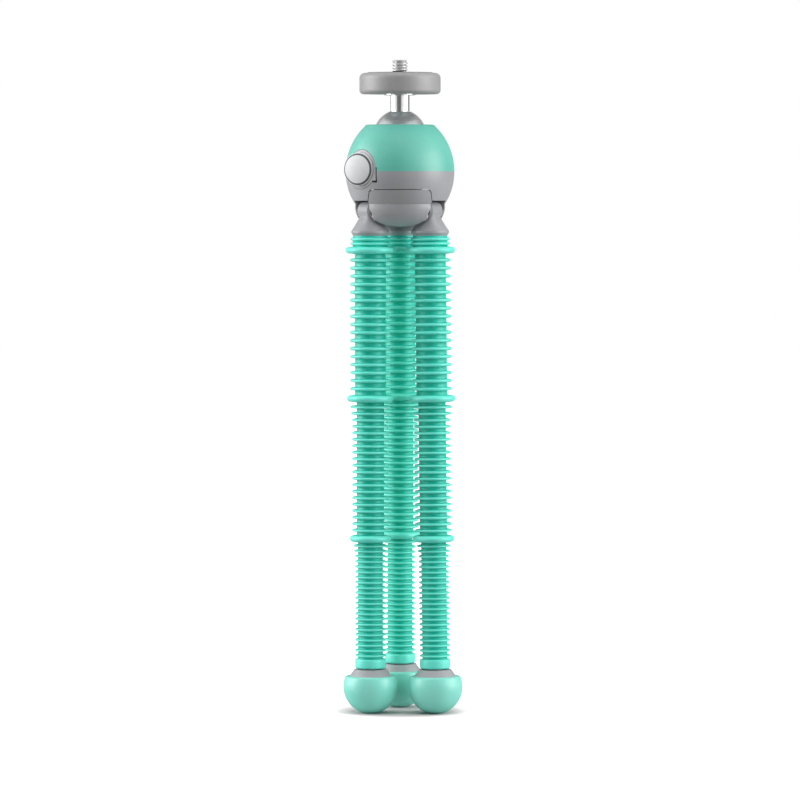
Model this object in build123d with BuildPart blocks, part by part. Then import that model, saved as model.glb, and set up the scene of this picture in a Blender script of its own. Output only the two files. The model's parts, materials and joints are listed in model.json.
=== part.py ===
from build123d import *
import os
from math import cos, sin, sqrt, tan, radians

os.makedirs("parts", exist_ok=True)

# A small tripod with three flexible ribbed legs and a ball head with a push button lock.
# +Z is up, +Y points away from the viewer, and the origin lies on the floor, on the head's axis.
# Lengths are in millimetres. A drop is a distance down a leg, counted from its hinge.

# Clearances
overrun = 4.0
running_gap = 0.1
seam_gap = 0.15
free_gap = 0.35

# Legs: where they stand
leg_names = ["front_left", "front_right", "back"]
leg_azimuth_angles = [210, 330, 90]
leg_lean_angles = [0.0, 0.8, 0.8]
leg_circle_inset = 3.3
leg_count = len(leg_names)
lobe_turn_angle = 180 / leg_count

# Hinge at the top of a leg
barrel_radius = 3.8
barrel_length = 9.6
barrel_edge = 0.9
hinge_pin_radius = 1.3
hinge_pin_grip = 2.4
hinge_pin_edge = 0.3
washer_radius = 3.0
washer_thickness = 0.4
neck_depth = 7.2
neck_width = 9.2
neck_round = 1.8
waist_depth = 6.8
waist_width = 8.6
waist_drop = 2.8
flare_radius = 7.7
flare_drop = 8.2
lip_height = 0.7
sleeve_top_drop = 10.1

# Ribbed sleeve: a short head, then an upper, a middle and a lower stretch, each under a ring
head_root_radius = 7.0
head_rib_radius = 8.0
head_rib_drops = [11.5, 13.3]
head_rib_width = 1.2
first_ring_drop = 16.0
ring_radii = [10.05, 9.55, 8.45]
ring_thicknesses = [3.0, 3.1, 3.1]
rib_counts = [17, 20, 22]
rib_pitches = [3.26, 2.64, 2.13]
rib_radii = [8.25, 7.55, 6.4]
root_radii = [6.0, 5.4, 4.85]
ring_spaces = [4.0, 3.4, 2.9]
lead_rib_growths = [0.0, 0.7, 0.6]
lead_rib_count = 2
rib_width_share = 0.56
crest_share = 0.6
sleeve_wall = 0.9
cuff_space = 1.3
cuff_radius = 6.25
cuff_height = 3.9
cuff_edge = 0.6

# Chain of links inside the sleeve
socket_wall = 0.9
ball_neck_share = 0.37
socket_open_angle = 75
ball_place_share = 0.25
flange_inset = 2.3
flange_thickness = 1.4

# Foot
collar_gap = 0.45
collar_top_radius = 6.6
collar_radius = 8.5
collar_height = 2.7
foot_radius = 11.1
foot_seam_rise = 4.4
foot_shoulder = 0.9
foot_flat_depth = 0.3
foot_stud_radius = 4.6
foot_stud_length = 6.0
foot_stud_head_radius = 6.2
foot_stud_head_height = 1.6

# Round housing of the head
housing_space = 8.5
housing_wall = 1.8
housing_low_rim = 0.95
housing_low_swell = 0.9
housing_low_rise = 2.7
housing_low_bulge_rise = 9.2
seam_rise = 16.0
cover_bulge_inset = 1.5
cover_bulge_height = 8.6
cover_shoulder_wall = 0.75
cover_shoulder_drop = 0.8
cover_corner_inset = 0.6
cover_corner_drop = 0.2
cover_top_inset = 1.7
cover_top_above_ball = 4.6
lip_thickness = 1.3
cover_shelf_height = 2.0
floor_rise = 5.3
floor_thickness = 2.0
floor_hole_radius = 5.6

# Hub under the housing, with a rounded lobe between each two legs
hub_inset = 4.9
hub_bottom_drop = 4.0
lobe_bottom_drop = 6.6
lobe_bottom_inset = 4.7
lobe_bulge_inset = 0.5
lobe_bulge_drop = 3.4
lobe_top_rise = 8.5
lobe_half_widths = [12.3, 13.0, 9.9, 5.0]
lobe_corner_rise = 2.2
lobe_slope_drop = 4.2
lobe_round = 1.6
lobe_thickness = 4.2
lobe_gap = 0.25
slot_gap = 0.3
spring_well_radius = 5.4
spring_well_drop = 1.0
guide_hole_drop = 3.4

# Ball and what holds it
ball_radius = 10.8
ball_rise = 30.3
ball_cap = 0.9
ball_hole_depth = 8.0
liner_wall = 1.45
liner_bottom_drop = 6.2
liner_top_rise = 3.1
race_wall = 1.25
shelf_inset = 0.25
shelf_thickness = 2.0
race_flange_inset = 0.6
race_flange_thickness = 2.0
race_post_wall = 1.3
race_post_angle = 45
hub_screw_angle = leg_azimuth_angles[0] + lobe_turn_angle
race_screw_radius = 1.0
race_screw_length = 7.0
race_screw_head_radius = 1.9
race_screw_head_height = 1.2
screw_head_edge = 0.3
hub_screw_web = 1.8
hub_screw_radius = 1.25
hub_screw_head_radius = 2.3
hub_screw_head_height = 1.6

# Brake under the ball
shoe_inset = 0.96
shoe_rim = 1.2
shoe_stem_radius = 3.2
shoe_seat_radius = 5.2
shoe_seat_height = 1.0
shoe_guide_radius = 2.4
shoe_guide_length = 10.4
shoe_waist_drop = 13.5
arm_under_button = 8.4
arm_height = 2.7
arm_width = 4.0
brake_wire = 0.9
brake_coil_radius = 4.5
brake_coil_turns = 5
wire_sides = 8

# Lock button on the front left, with its axis beside the head's own
button_azimuth_angle = 240
button_offset = 6.8
button_rise = 16.8
button_radius = 6.75
button_proud = 0.5
button_crown = 1.1
button_edge = 0.7
button_height = 5.2
button_recess_radius = 5.2
button_web = 1.2
bezel_radius = 7.95
bezel_inset = 0.4
bezel_back_gap = 0.7
bezel_back_wall = 0.9
bezel_foot_width = 5.2
bezel_foot_drop = 4.6
bezel_slit = 0.7
bezel_slit_rise = 0.8
button_wire = 0.6
button_coil_radius = 4.2
button_coil_turns = 4
plunger_radius = 2.0
plunger_end = 4.0
wedge_length = 10.0
wedge_width = 4.0
wedge_start = -4.0
ramp_angle = 25

# Stem, platform and camera screw
stem_radius = 3.9
stem_flange_radius = 6.4
stem_flange_height = 1.0
stem_flange_show = 0.5
spigot_radius = 3.0
spigot_length = 7.6
spigot_edge = 0.5
stem_flange_edge = 0.2
platform_drop = 17.0
platform_radius = 16.5
platform_height = 8.8
platform_top_round = 2.2
platform_bottom_round = 1.6
pad_radius = 13.2
pad_inner_radius = 4.2
pad_thickness = 1.2
pad_proud = 0.2
screw_radius = 3.175
screw_show = 5.0
screw_tip_edge = 0.6
screw_neck_radius = 2.5
screw_neck_show = 0.3
screw_head_radius = 5.0
screw_head_height = 2.0

# Places that follow from the sizes above
ring_drops = [first_ring_drop]
for count, pitch, space in zip(rib_counts, rib_pitches, ring_spaces):
    ring_drops.append(ring_drops[-1] + 2 * space + (count - 1) * pitch)
cuff_top_drop = ring_drops[-1] - ring_spaces[-1] + cuff_space
cuff_bottom_drop = cuff_top_drop + cuff_height
collar_top_drop = cuff_bottom_drop + collar_gap
foot_seam_drop = collar_top_drop + collar_height
foot_centre_drop = foot_seam_drop + foot_seam_rise
hinge_height = foot_centre_drop + foot_radius - foot_flat_depth

stretch_tops = [ring + height / 2 for ring, height in zip(ring_drops, ring_thicknesses)]
stretch_ends = [ring_drops[1] - ring_thicknesses[1] / 2, ring_drops[2] - ring_thicknesses[2] / 2]
stretch_ends.append(cuff_top_drop)
stretch_lengths = [end - top for top, end in zip(stretch_tops, stretch_ends)]
upper_ball_drops = [top + ball_place_share * run for top, run in zip(stretch_tops, stretch_lengths)]
lower_ball_drops = [end - ball_place_share * run for end, run in zip(stretch_ends, stretch_lengths)]
bore_radii = [root - sleeve_wall for root in root_radii]
socket_radii = [bore - free_gap for bore in bore_radii]
link_ball_radii = [socket - socket_wall - running_gap for socket in socket_radii]
flange_radii = [ring - flange_inset for ring in ring_radii]

liner_outer_radius = ball_radius + liner_wall
liner_mouth_radius = sqrt((ball_radius + running_gap) ** 2 - liner_bottom_drop**2)
shelf_radius = liner_mouth_radius + shelf_inset
shoe_radius = liner_mouth_radius - shoe_inset
ball_flat_height = ball_radius - ball_cap
race_bore_radius = liner_outer_radius + running_gap
race_outer_radius = race_bore_radius + race_wall
housing_radius = race_outer_radius + housing_space
hub_radius = housing_radius - hub_inset
leg_circle = hub_radius - leg_circle_inset
lobe_bottom_radius = hub_radius - lobe_bottom_inset
lobe_bulge_radius = hub_radius - lobe_bulge_inset
lobe_back = hub_radius - lobe_thickness
hub_screw_circle = spring_well_radius + hub_screw_web + hub_screw_head_radius

seam_height = hinge_height + seam_rise
floor_top = hinge_height + floor_rise + floor_thickness
hub_top = hinge_height + floor_rise
ball_height = hinge_height + ball_rise
button_height_z = hinge_height + button_rise
platform_bottom = ball_height + platform_drop
platform_top = platform_bottom + platform_height
cover_bulge_rise = seam_rise + cover_bulge_height
cover_top_rise = ball_rise + cover_top_above_ball
cover_shoulder_rise = cover_top_rise - cover_shoulder_drop
cover_corner_rise = cover_top_rise - cover_corner_drop
cover_lip_top = hinge_height + cover_top_rise
cover_lip_bottom = cover_lip_top - lip_thickness
cover_lip_radius = sqrt(ball_radius**2 - (cover_lip_top - ball_height) ** 2) + free_gap
cover_throat_radius = sqrt(ball_radius**2 - (cover_lip_bottom - ball_height) ** 2) + free_gap
ball_hole_radius = spigot_radius + running_gap / 2
race_flange_radius = housing_radius - housing_wall - race_flange_inset
race_post_radius = race_screw_radius + race_post_wall
race_post_circle = race_flange_radius - race_post_radius
housing_low_radius = hub_radius + seam_gap + housing_low_rim
housing_low_bulge_radius = housing_radius - housing_low_swell
cover_bulge_radius = housing_radius - cover_bulge_inset
cover_shoulder_radius = race_outer_radius + seam_gap + cover_shoulder_wall
cover_corner_radius = cover_shoulder_radius - cover_corner_inset
cover_top_radius = cover_shoulder_radius - cover_top_inset
race_flange_bottom = seam_height + free_gap
slot_half_width = barrel_length / 2 + washer_thickness + 2 * seam_gap
hinge_pin_length = 2 * (slot_half_width + hinge_pin_grip)
barrel_room = barrel_radius + slot_gap
bezel_face = housing_radius - bezel_inset
bezel_back = race_outer_radius + bezel_back_gap
button_face = housing_radius + button_proud
hub_screw_seat = hinge_height - hub_bottom_drop + hub_screw_head_height
hub_screw_length = floor_top - hub_screw_seat
button_direction = Vector(1, 0, 0).rotate(Axis.Z, button_azimuth_angle)
button_side = Vector(0, -1, 0).rotate(Axis.Z, button_azimuth_angle)


def button_plane(reach):
    """A plane square to the button's axis, at this reach from the head's axis, with y down."""
    beside = button_side * button_offset
    origin = button_direction * reach + beside + Vector(0, 0, button_height_z)
    return Plane(origin=origin, x_dir=button_side, z_dir=button_direction)


def keep(solid, name, colour):
    """Label a finished piece and write it to its own file."""
    solid.label = name
    solid.color = Color(*colour)
    export_step(solid, f"parts/{name}.step")


mint = (0.36, 0.80, 0.69)
grey = (0.60, 0.60, 0.62)
dark = (0.25, 0.25, 0.27)
metal = (0.78, 0.78, 0.80)


# Ribbed sleeve of one leg, hinge at the origin, leg along -Z
def rib_circles(drop, root_above, tip, root_below, width):
    """The four circles of one rib or ring, each as drop and radius."""
    half = width / 2
    crest = half * crest_share
    return [
        (drop - half, root_above),
        (drop - crest, tip),
        (drop + crest, tip),
        (drop + half, root_below),
    ]


def sleeve_circles():
    """All circles of the sleeve's outside, from its top end to the foot of its cuff."""
    circles = [(sleeve_top_drop, head_root_radius)]
    for drop in head_rib_drops:
        circles += rib_circles(
            drop, head_root_radius, head_rib_radius, head_root_radius, head_rib_width
        )
    root_above = head_root_radius
    for i, ring_drop in enumerate(ring_drops[:-1]):
        root = root_radii[i]
        circles += rib_circles(ring_drop, root_above, ring_radii[i], root, ring_thicknesses[i])
        for j in range(rib_counts[i]):
            drop = ring_drop + ring_spaces[i] + j * rib_pitches[i]
            lead_share = max(0, 1 - j / lead_rib_count)
            tip = rib_radii[i] + lead_rib_growths[i] * lead_share
            circles += rib_circles(drop, root, tip, root, rib_width_share * rib_pitches[i])
        root_above = root
    circles += [
        (cuff_top_drop, root_above),
        (cuff_top_drop + cuff_edge, cuff_radius),
        (cuff_bottom_drop - cuff_edge, cuff_radius),
        (cuff_bottom_drop, cuff_radius - cuff_edge),
    ]
    return circles


with BuildPart() as sleeve:
    for drop, radius in sleeve_circles():
        with BuildSketch(Plane.XY.offset(-drop)):
            Circle(radius)
    loft(ruled=True)
    bore_tops = [sleeve_top_drop - overrun, ring_drops[1], ring_drops[2]]
    bore_ends = [ring_drops[1], ring_drops[2], cuff_bottom_drop + overrun]
    for radius, top, end in zip(bore_radii, bore_tops, bore_ends):
        with Locations((0, 0, -top)):
            Cylinder(
                radius, end - top, align=(Align.CENTER, Align.CENTER, Align.MAX), mode=Mode.SUBTRACT
            )
    for drop, radius in zip(ring_drops, flange_radii):
        with Locations((0, 0, -drop)):
            Cylinder(radius + free_gap, flange_thickness + 2 * free_gap, mode=Mode.SUBTRACT)


# Links of the inner chain
def socket_mouth(ball_drop, radius, side):
    """Drop of the rim of a socket that holds a link's ball and opens up (-1) or down (+1)."""
    return ball_drop + side * radius * cos(radians(socket_open_angle))


def link_bar(radius, top, end):
    """A round bar along the leg, between two drops."""
    with Locations((0, 0, -top)):
        Cylinder(radius, end - top, align=(Align.CENTER, Align.CENTER, Align.MAX))


def link_flange(i):
    """The flange that a ring of the sleeve snaps over."""
    with Locations((0, 0, -ring_drops[i])):
        Cylinder(flange_radii[i], flange_thickness)


def socket_hollow(ball_drop, i):
    """The round hollow that a link's ball turns in."""
    with Locations((0, 0, -ball_drop)):
        Sphere(link_ball_radii[i] + running_gap, mode=Mode.SUBTRACT)


def ball_link(i):
    """A rod with a ball at each end, in the middle of one ribbed stretch."""
    with BuildPart() as link:
        link_bar(ball_neck_share * link_ball_radii[i], upper_ball_drops[i], lower_ball_drops[i])
        with Locations((0, 0, -upper_ball_drops[i]), (0, 0, -lower_ball_drops[i])):
            Sphere(link_ball_radii[i])
    return link.part


def socket_link(i):
    """The rigid link inside ring i, with a socket at each end."""
    with BuildPart() as link:
        above = i - 1
        top = socket_mouth(lower_ball_drops[above], link_ball_radii[above], -1)
        end = socket_mouth(upper_ball_drops[i], link_ball_radii[i], 1)
        link_bar(socket_radii[above], top, ring_drops[i])
        link_bar(socket_radii[i], ring_drops[i], end)
        link_flange(i)
        socket_hollow(lower_ball_drops[above], above)
        socket_hollow(upper_ball_drops[i], i)
    return link.part


# Knuckle: hinge barrel, a neck that flares from square to round, and the first socket below
with BuildPart() as knuckle:
    with Locations(Plane.XZ):
        Cylinder(barrel_radius, barrel_length)
    chamfer(knuckle.edges().filter_by(GeomType.CIRCLE), barrel_edge)
    with BuildSketch(Plane.XY):
        RectangleRounded(neck_depth, neck_width, neck_round)
    with BuildSketch(Plane.XY.offset(-waist_drop)):
        RectangleRounded(waist_depth, waist_width, neck_round)
    with BuildSketch(Plane.XY.offset(-flare_drop)):
        Circle(flare_radius)
    loft(ruled=True)
    with BuildSketch(Plane.XZ):
        with BuildLine():
            Polyline(
                (0, -flare_drop),
                (flare_radius, -flare_drop),
                (flare_radius, -flare_drop - lip_height),
                (head_root_radius, -sleeve_top_drop),
                (0, -sleeve_top_drop),
                close=True,
            )
        make_face()
    revolve(axis=Axis.Z)
    with Locations(Plane.XZ):
        Hole(hinge_pin_radius + running_gap / 2)
    link_bar(
        socket_radii[0], sleeve_top_drop, socket_mouth(upper_ball_drops[0], link_ball_radii[0], 1)
    )
    link_flange(0)
    socket_hollow(upper_ball_drops[0], 0)

# Hinge pin with its two friction washers
with BuildPart() as hinge_pin:
    with Locations(Plane.XZ):
        Cylinder(hinge_pin_radius, hinge_pin_length)
    chamfer(hinge_pin.edges().filter_by(GeomType.CIRCLE), hinge_pin_edge)

washer_place = barrel_length / 2 + seam_gap + washer_thickness / 2
with BuildPart() as hinge_washers:
    for side in (-1, 1):
        with BuildSketch(Plane.XZ.offset(side * washer_place - washer_thickness / 2)):
            Circle(washer_radius)
            Circle(hinge_pin_radius + seam_gap, mode=Mode.SUBTRACT)
        extrude(amount=washer_thickness)

# Foot collar: cone, socket stud above and anchor stud below
with BuildPart() as foot_collar:
    stud_top = socket_mouth(lower_ball_drops[2], link_ball_radii[2], -1)
    link_bar(socket_radii[2], stud_top, collar_top_drop)
    with BuildSketch(Plane.XZ):
        with BuildLine():
            Polyline(
                (0, -collar_top_drop),
                (collar_top_radius, -collar_top_drop),
                (collar_radius, -foot_seam_drop),
                (foot_stud_radius, -foot_seam_drop),
                (foot_stud_radius, -foot_seam_drop - foot_stud_length),
                (foot_stud_head_radius, -foot_seam_drop - foot_stud_length),
                (
                    foot_stud_head_radius,
                    -foot_seam_drop - foot_stud_length - foot_stud_head_height,
                ),
                (0, -foot_seam_drop - foot_stud_length - foot_stud_head_height),
                close=True,
            )
        make_face()
    revolve(axis=Axis.Z)
    socket_hollow(lower_ball_drops[2], 2)

# Rubber foot: a ball cut off at its seam, moulded round the anchor stud
with BuildPart() as foot_ball:
    with Locations((0, 0, -foot_centre_drop)):
        Sphere(foot_radius)
    split(bisect_by=Plane.XY.offset(-foot_seam_drop), keep=Keep.BOTTOM)
    fillet(foot_ball.edges().group_by(Axis.Z)[-1], foot_shoulder)
    with Locations((0, 0, -foot_seam_drop)):
        Cylinder(foot_stud_radius + seam_gap, 2 * foot_stud_length, mode=Mode.SUBTRACT)
    with Locations((0, 0, -foot_seam_drop - foot_stud_length + seam_gap)):
        Cylinder(
            foot_stud_head_radius + seam_gap,
            foot_stud_head_height + 2 * seam_gap,
            align=(Align.CENTER, Align.CENTER, Align.MAX),
            mode=Mode.SUBTRACT,
        )


# Place one set of leg pieces on each hinge
def leg_place(azimuth_angle, lean_angle):
    """Where a leg stands: its hinge on the leg circle, swung outward by its lean."""
    hinge = Location((leg_circle, 0, hinge_height), (0, 0, 0))
    turn = Location((0, 0, 0), (0, 0, azimuth_angle))
    lean = Location((0, 0, 0), (0, -lean_angle, 0))
    return turn * hinge * lean


leg_pieces = {
    "knuckle": (knuckle.part, grey),
    "hinge_pin": (hinge_pin.part, metal),
    "hinge_washers": (hinge_washers.part, dark),
    "sleeve": (sleeve.part, mint),
    "upper_ball_link": (ball_link(0), dark),
    "upper_socket_link": (socket_link(1), grey),
    "middle_ball_link": (ball_link(1), dark),
    "lower_socket_link": (socket_link(2), grey),
    "lower_ball_link": (ball_link(2), dark),
    "foot_collar": (foot_collar.part, grey),
}
for leg, azimuth_angle, lean_angle in zip(leg_names, leg_azimuth_angles, leg_lean_angles):
    place = leg_place(azimuth_angle, lean_angle)
    for name, (solid, colour) in leg_pieces.items():
        keep(solid.moved(place), f"{leg}_{name}", colour)
    with BuildPart() as foot_pad:
        add(foot_ball.part.moved(place))
        split(bisect_by=Plane.XY, keep=Keep.TOP)
    keep(foot_pad.part, f"{leg}_foot_pad", mint)


# Housing outline: arcs through named radii, from its bottom edge to the seam and on to the top
def housing_low_arc():
    """The lower housing's outer arc, from its bottom edge up to the seam."""
    ThreePointArc(
        (housing_low_radius, hinge_height + housing_low_rise),
        (housing_low_bulge_radius, hinge_height + housing_low_bulge_rise),
        (housing_radius, seam_height),
    )


def cover_arc():
    """The upper cover's outer arc, from the seam up to its shoulder."""
    ThreePointArc(
        (housing_radius, seam_height),
        (cover_bulge_radius, hinge_height + cover_bulge_rise),
        (cover_shoulder_radius, hinge_height + cover_shoulder_rise),
    )


# What the legs need to be free of: the slot that a knuckle swings in
with BuildPart() as leg_slot:
    slot_reach = housing_radius + overrun
    with Locations((leg_circle - barrel_room, 0, hinge_height)):
        Box(
            slot_reach,
            2 * slot_half_width,
            lobe_bottom_drop + overrun,
            align=(Align.MIN, Align.CENTER, Align.MAX),
        )
    with Locations((leg_circle, 0, hinge_height)):
        Box(
            slot_reach,
            2 * slot_half_width,
            barrel_room,
            align=(Align.MIN, Align.CENTER, Align.MIN),
        )
    with Locations((leg_circle - flare_radius - slot_gap, 0, hinge_height - waist_drop)):
        Box(
            slot_reach,
            2 * slot_half_width,
            lobe_bottom_drop + overrun,
            align=(Align.MIN, Align.CENTER, Align.MAX),
        )
    with Locations(Plane(origin=(leg_circle, 0, hinge_height), z_dir=(0, 1, 0))):
        Cylinder(barrel_room, 2 * slot_half_width)


def lobe_tongue(growth):
    """One lobe's tongue in front of the hub, grown all round by this much."""
    top_width, corner_width, slope_width, bottom_width = lobe_half_widths
    with BuildPart() as tongue:
        with BuildSketch(Plane.XZ.offset(lobe_back - growth)):
            with BuildLine():
                Polyline(
                    (-top_width - growth, hinge_height + lobe_top_rise + growth),
                    (top_width + growth, hinge_height + lobe_top_rise + growth),
                    (corner_width + growth, hinge_height + lobe_corner_rise),
                    (slope_width + growth, hinge_height - lobe_slope_drop),
                    (bottom_width + growth, hinge_height - lobe_bottom_drop - growth),
                    (-bottom_width - growth, hinge_height - lobe_bottom_drop - growth),
                    (-slope_width - growth, hinge_height - lobe_slope_drop),
                    (-corner_width - growth, hinge_height + lobe_corner_rise),
                    close=True,
                )
            face = make_face()
            fillet(face.vertices(), lobe_round)
        extrude(amount=housing_radius)
    return tongue.part


# Leg hub: core, three lobes, slots for the knuckles, holes for pins, screws and brake
with BuildPart() as leg_hub:
    with Locations((0, 0, hinge_height - hub_bottom_drop)):
        Cylinder(
            hub_radius,
            hub_top - hinge_height + hub_bottom_drop,
            align=(Align.CENTER, Align.CENTER, Align.MIN),
        )
    tongue = lobe_tongue(0)
    with PolarLocations(0, leg_count):
        add(tongue)
    with BuildSketch(Plane.XZ):
        with BuildLine():
            Polyline(
                (0, seam_height),
                (0, hinge_height - lobe_bottom_drop),
                (lobe_bottom_radius, hinge_height - lobe_bottom_drop),
            )
            ThreePointArc(
                (lobe_bottom_radius, hinge_height - lobe_bottom_drop),
                (lobe_bulge_radius, hinge_height - lobe_bulge_drop),
                (housing_low_radius, hinge_height + housing_low_rise),
            )
            housing_low_arc()
            Line((housing_radius, seam_height), (0, seam_height))
        make_face()
    revolve(axis=Axis.Z, mode=Mode.INTERSECT)
    with PolarLocations(0, leg_count, start_angle=leg_azimuth_angles[0]):
        add(leg_slot.part, mode=Mode.SUBTRACT)
    for azimuth_angle in leg_azimuth_angles:
        pin_place = leg_place(azimuth_angle, 0)
        with Locations(pin_place * Location((0, 0, 0), (90, 0, 0))):
            Cylinder(
                hinge_pin_radius + seam_gap / 2, hinge_pin_length + seam_gap, mode=Mode.SUBTRACT
            )
    with Locations((0, 0, hinge_height - spring_well_drop)):
        Cylinder(
            spring_well_radius,
            hub_top - hinge_height + spring_well_drop + overrun,
            align=(Align.CENTER, Align.CENTER, Align.MIN),
            mode=Mode.SUBTRACT,
        )
    with Locations((0, 0, hinge_height - guide_hole_drop)):
        Cylinder(
            shoe_guide_radius + running_gap,
            guide_hole_drop,
            align=(Align.CENTER, Align.CENTER, Align.MIN),
            mode=Mode.SUBTRACT,
        )
    with Locations((0, 0, hub_screw_seat)):
        with PolarLocations(hub_screw_circle, leg_count, start_angle=hub_screw_angle):
            Cylinder(
                hub_screw_head_radius + seam_gap,
                hub_screw_head_height + overrun,
                align=(Align.CENTER, Align.CENTER, Align.MAX),
                mode=Mode.SUBTRACT,
            )
            Cylinder(
                hub_screw_radius + seam_gap,
                hub_top - hub_screw_seat + overrun,
                align=(Align.CENTER, Align.CENTER, Align.MIN),
                mode=Mode.SUBTRACT,
            )
keep(leg_hub.part, "leg_hub", grey)


def screw(shank_radius, shank_length, head_radius, head_height, way):
    """A screw whose head's seat lies at the origin, its shank pointing up (1) or down (-1)."""
    with BuildPart() as one:
        with BuildSketch(Plane.XY):
            Circle(head_radius)
        extrude(amount=-way * head_height)
        chamfer(one.edges().filter_by(GeomType.CIRCLE), screw_head_edge)
        with BuildSketch(Plane.XY):
            Circle(shank_radius)
        extrude(amount=way * shank_length)
    return one.part


with BuildPart() as hub_screws:
    hub_screw = screw(
        hub_screw_radius, hub_screw_length, hub_screw_head_radius, hub_screw_head_height, 1
    )
    with Locations((0, 0, hub_screw_seat)):
        with PolarLocations(hub_screw_circle, leg_count, start_angle=hub_screw_angle):
            add(hub_screw)
keep(hub_screws.part, "hub_screws", metal)


# What the button needs to be free of in the shells round it
def bezel_outline(growth, slit, slit_rise):
    """The bezel's round outline with its square foot, low on the side towards the lobe."""
    Circle(bezel_radius + growth)
    with Locations((-bezel_radius - slit, -slit_rise)):
        Rectangle(
            bezel_foot_width + slit,
            bezel_foot_drop + slit + slit_rise,
            align=(Align.MIN, Align.MIN),
        )


with BuildPart() as bezel_pocket:
    with BuildSketch(button_plane(bezel_back - free_gap)):
        bezel_outline(seam_gap, bezel_slit, bezel_slit_rise)
    extrude(amount=housing_radius)

with BuildPart() as head_envelope:
    with BuildSketch(Plane.XZ):
        with BuildLine():
            housing_low_arc()
            cover_arc()
            Polyline(
                (cover_shoulder_radius, hinge_height + cover_shoulder_rise),
                (0, hinge_height + cover_shoulder_rise),
                (0, hinge_height + housing_low_rise),
                (housing_low_radius, hinge_height + housing_low_rise),
            )
        make_face()
    revolve(axis=Axis.Z)

# Bezel: a cup whose face lies flush with the head's outside
with BuildPart() as button_bezel:
    with BuildSketch(button_plane(bezel_back)):
        bezel_outline(0, 0, 0)
    extrude(amount=bezel_face - bezel_back)
    add(head_envelope.part, mode=Mode.INTERSECT)
    with BuildSketch(button_plane(bezel_back + bezel_back_wall)):
        Circle(button_radius + running_gap)
    extrude(amount=bezel_face, mode=Mode.SUBTRACT)
    with BuildSketch(button_plane(bezel_back - overrun)):
        Circle(plunger_radius + running_gap)
    extrude(amount=bezel_face, mode=Mode.SUBTRACT)
keep(button_bezel.part, "button_bezel", grey)

# Lower housing: shell, floor and race posts
with BuildPart() as lower_housing:
    with BuildSketch(Plane.XZ):
        with BuildLine():
            housing_low_arc()
            Polyline(
                (housing_radius, seam_height),
                (housing_radius - housing_wall, seam_height),
            )
            ThreePointArc(
                (housing_radius - housing_wall, seam_height),
                (housing_low_bulge_radius - housing_wall, hinge_height + housing_low_bulge_rise),
                (hub_radius + seam_gap, floor_top),
            )
            Polyline(
                (hub_radius + seam_gap, floor_top),
                (floor_hole_radius, floor_top),
                (floor_hole_radius, hub_top),
                (hub_radius + seam_gap, hub_top),
                (hub_radius + seam_gap, hinge_height + housing_low_rise),
                (housing_low_radius, hinge_height + housing_low_rise),
            )
        make_face()
    revolve(axis=Axis.Z)
    with Locations((0, 0, hub_top)):
        with PolarLocations(race_post_circle, leg_count, start_angle=race_post_angle):
            Cylinder(
                race_post_radius,
                race_flange_bottom - hub_top,
                align=(Align.CENTER, Align.CENTER, Align.MIN),
            )
    pocket_tongue = lobe_tongue(lobe_gap)
    with PolarLocations(0, leg_count):
        add(pocket_tongue, mode=Mode.SUBTRACT)
    with PolarLocations(0, leg_count, start_angle=leg_azimuth_angles[0]):
        add(leg_slot.part, mode=Mode.SUBTRACT)
    with Locations((0, 0, floor_top)):
        with PolarLocations(hub_screw_circle, leg_count, start_angle=hub_screw_angle):
            Cylinder(hub_screw_radius + seam_gap, 2 * floor_thickness + overrun, mode=Mode.SUBTRACT)
    with Locations((0, 0, race_flange_bottom)):
        with PolarLocations(race_post_circle, leg_count, start_angle=race_post_angle):
            Cylinder(
                race_screw_radius + seam_gap,
                2 * race_screw_length,
                mode=Mode.SUBTRACT,
            )
    add(bezel_pocket.part, mode=Mode.SUBTRACT)
keep(lower_housing.part, "lower_housing", grey)

# Upper cover: domed shell with the lip that keeps the ball in
with BuildPart() as upper_cover:
    inner_top_radius = race_outer_radius + seam_gap
    inner_corner = cover_lip_bottom - cover_shelf_height
    with BuildSketch(Plane.XZ):
        with BuildLine():
            cover_arc()
            ThreePointArc(
                (cover_shoulder_radius, hinge_height + cover_shoulder_rise),
                (cover_corner_radius, hinge_height + cover_corner_rise),
                (cover_top_radius, cover_lip_top),
            )
            Polyline(
                (cover_top_radius, cover_lip_top),
                (cover_lip_radius, cover_lip_top),
                (cover_throat_radius, cover_lip_bottom),
                (inner_top_radius, cover_lip_bottom),
                (inner_top_radius, inner_corner),
            )
            ThreePointArc(
                (inner_top_radius, inner_corner),
                (cover_bulge_radius - housing_wall, hinge_height + cover_bulge_rise),
                (housing_radius - housing_wall, seam_height),
            )
            Line((housing_radius - housing_wall, seam_height), (housing_radius, seam_height))
        make_face()
    revolve(axis=Axis.Z)
    add(bezel_pocket.part, mode=Mode.SUBTRACT)
keep(upper_cover.part, "upper_cover", mint)

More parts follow.
